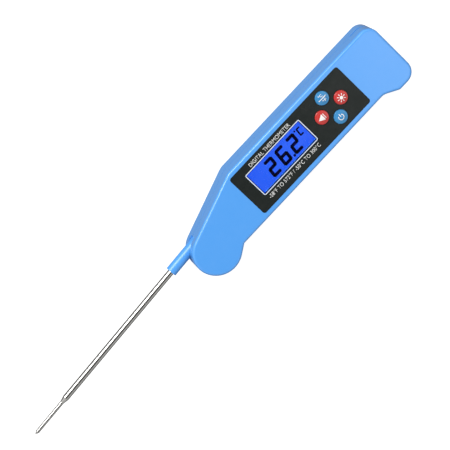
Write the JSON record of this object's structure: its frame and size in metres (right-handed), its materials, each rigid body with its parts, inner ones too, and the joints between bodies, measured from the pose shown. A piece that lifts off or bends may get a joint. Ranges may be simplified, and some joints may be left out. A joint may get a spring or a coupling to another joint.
{
  "type": "folding digital probe thermometer",
  "caption": "Pocket probe thermometer with a steel probe that swings out of a blue plastic body, a backlit display in a black panel and domed push buttons.",
  "frame": {"origin": "where the probe's pivot axis meets the flat back of the casing", "axes": "+X from the pivot along the casing to its tail, +Y from the grip edge to the top edge, +Z out of the display face; the part lies on its back, probe swung out towards -X"},
  "size_m": [0.2733, 0.038, 0.0204],
  "materials": {
    "casing_blue": "satin moulded ABS",
    "panel_black": "printed black cover plate, semi-gloss",
    "window_clear": "clear pane",
    "display_blue": "backlit display glass",
    "backlight_white": "diffuser",
    "strip_black": "striped silicone contact strip",
    "frame_grey": "moulded frame",
    "board_green": "solder-masked glass-fibre board",
    "chip_black": "moulded package",
    "button_blue": "glossy domed cap",
    "button_red": "glossy domed cap",
    "switch_grey": "switch case",
    "cell_steel": "plated steel can",
    "contact_brass": "spring brass",
    "seal_black": "soft rubber ring",
    "screw_steel": "plated screw",
    "pin_steel": "ground pin",
    "tube_steel": "polished stainless tube",
    "bead_epoxy": "epoxy-coated bead",
    "wire_enamel": "enamelled wire",
    "lead_red": "insulated lead"
  },
  "bodies": {
    "housing": {"front_shell": "casing_blue", "rear_shell": "casing_blue", "display_panel": "panel_black", "window_pane": "window_clear", "display_glass": "display_blue", "backlight": "backlight_white", "contact_strips": "strip_black", "display_frame": "frame_grey", "circuit_board": "board_green", "controller_chip": "chip_black", "push_switches": "switch_grey", "coin_cell": "cell_steel", "contact_plus": "contact_brass", "contact_minus": "contact_brass", "case_screws": "screw_steel", "board_screws": "screw_steel", "pivot_pin": "pin_steel", "friction_washer": "pin_steel", "board_leads": "lead_red"},
    "probe": {"probe_hub": "casing_blue", "probe_tube": "tube_steel", "sensor_bead": "bead_epoxy", "sensor_wires": "wire_enamel", "stem_seal": "seal_black"},
    "battery_door": {"battery_door": "casing_blue", "door_seal": "seal_black"},
    "button_unit": {"button_unit": "button_blue"},
    "button_light": {"button_light": "button_red"},
    "button_power": {"button_power": "button_blue"},
    "button_hold": {"button_hold": "button_red"}
  },
  "joints": [
    {"name": "probe_fold", "type": "hinge", "parent": "housing", "child": "probe", "pos_m": [0, 0, 0.0095], "axis": [0, 0, 1], "range_deg": [0, 176.5]},
    {"name": "battery_door_twist", "type": "hinge", "parent": "housing", "child": "battery_door", "pos_m": [0.104, 0.0083, 0.001], "axis": [0, 0, -1], "range_deg": [0, 40]},
    {"name": "button_unit_press", "type": "slide", "parent": "housing", "child": "button_unit", "axis": [0, 0, -1], "range_m": [0, 0.0006], "stiffness_N_per_m": 500},
    {"name": "button_light_press", "type": "slide", "parent": "housing", "child": "button_light", "axis": [0, 0, -1], "range_m": [0, 0.0006], "stiffness_N_per_m": 500},
    {"name": "button_power_press", "type": "slide", "parent": "housing", "child": "button_power", "axis": [0, 0, -1], "range_m": [0, 0.0006], "stiffness_N_per_m": 500},
    {"name": "button_hold_press", "type": "slide", "parent": "housing", "child": "button_hold", "axis": [0, 0, -1], "range_m": [0, 0.0006], "stiffness_N_per_m": 500}
  ]
}
